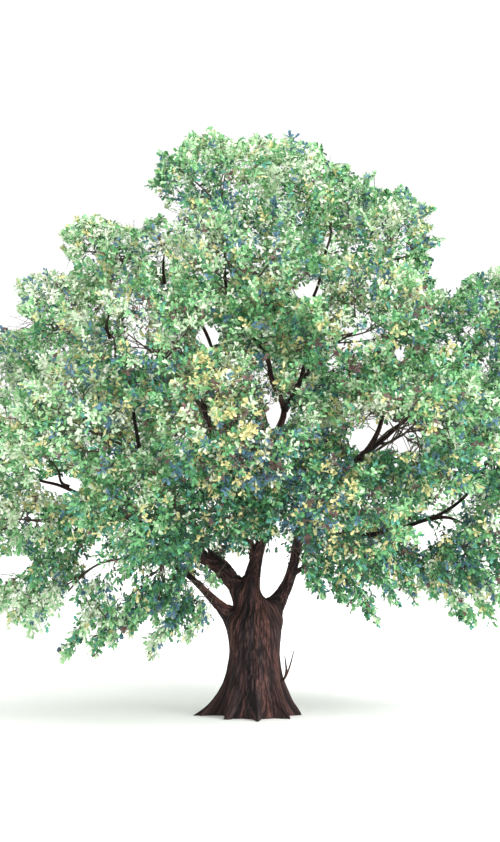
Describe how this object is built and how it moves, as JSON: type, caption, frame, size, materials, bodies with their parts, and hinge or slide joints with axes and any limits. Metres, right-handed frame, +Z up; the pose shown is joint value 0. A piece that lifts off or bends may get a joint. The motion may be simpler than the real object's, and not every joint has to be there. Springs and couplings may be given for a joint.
{
  "type": "tree",
  "caption": "Old broad-crowned oak with a short flared trunk, crooked boughs parting low down and a full crown of leafy masses with drooping skirts.",
  "frame": {"origin": "middle of the flat cut under the trunk, at ground level", "axes": "+Z up the trunk, +X across the crown's broad face to the right, +Y to the back; the face the drawing shows looks along -Y"},
  "size_m": [18.3601, 15.8425, 16.8372],
  "materials": {
    "bark": "rough furrowed bark, dark brown with reddish streaks",
    "foliage": "matt leaves in many greens"
  },
  "bodies": {
    "root": {"trunk": "bark", "base_shoot": "bark", "bough_low_left": "bark", "bough_far_left": "bark", "bough_centre": "bark", "bough_right": "bark", "bough_inner_left": "bark", "bough_high_left": "bark", "bough_skirt_left": "bark", "bough_upper_left": "bark", "bough_top_right": "bark", "bough_upper_front": "bark", "bough_upper_back": "bark", "bough_high_right": "bark", "bough_far_right": "bark", "bough_skirt_right": "bark", "bough_low_right": "bark", "bough_front_left": "bark", "bough_back_left": "bark", "bough_low_front_left": "bark", "bough_low_back_left": "bark", "bough_high_front_left": "bark", "bough_high_back": "bark", "bough_front": "bark", "bough_back": "bark", "bough_high_front_right": "bark", "bough_front_right": "bark", "bough_back_right": "bark", "bough_low_front_right": "bark", "bough_low_back_right": "bark", "leaves_low_left": "foliage", "leaves_far_left": "foliage", "leaves_centre": "foliage", "leaves_right": "foliage", "leaves_inner_left": "foliage", "leaves_high_left": "foliage", "leaves_skirt_left": "foliage", "leaves_upper_left": "foliage", "leaves_top_right": "foliage", "leaves_upper_front": "foliage", "leaves_upper_back": "foliage", "leaves_high_right": "foliage", "leaves_far_right": "foliage", "leaves_skirt_right": "foliage", "leaves_low_right": "foliage", "leaves_front_left": "foliage", "leaves_back_left": "foliage", "leaves_low_front_left": "foliage", "leaves_low_back_left": "foliage", "leaves_high_front_left": "foliage", "leaves_high_back": "foliage", "leaves_front": "foliage", "leaves_back": "foliage", "leaves_high_front_right": "foliage", "leaves_front_right": "foliage", "leaves_back_right": "foliage", "leaves_low_front_right": "foliage", "leaves_low_back_right": "foliage"}
  },
  "joints": []
}
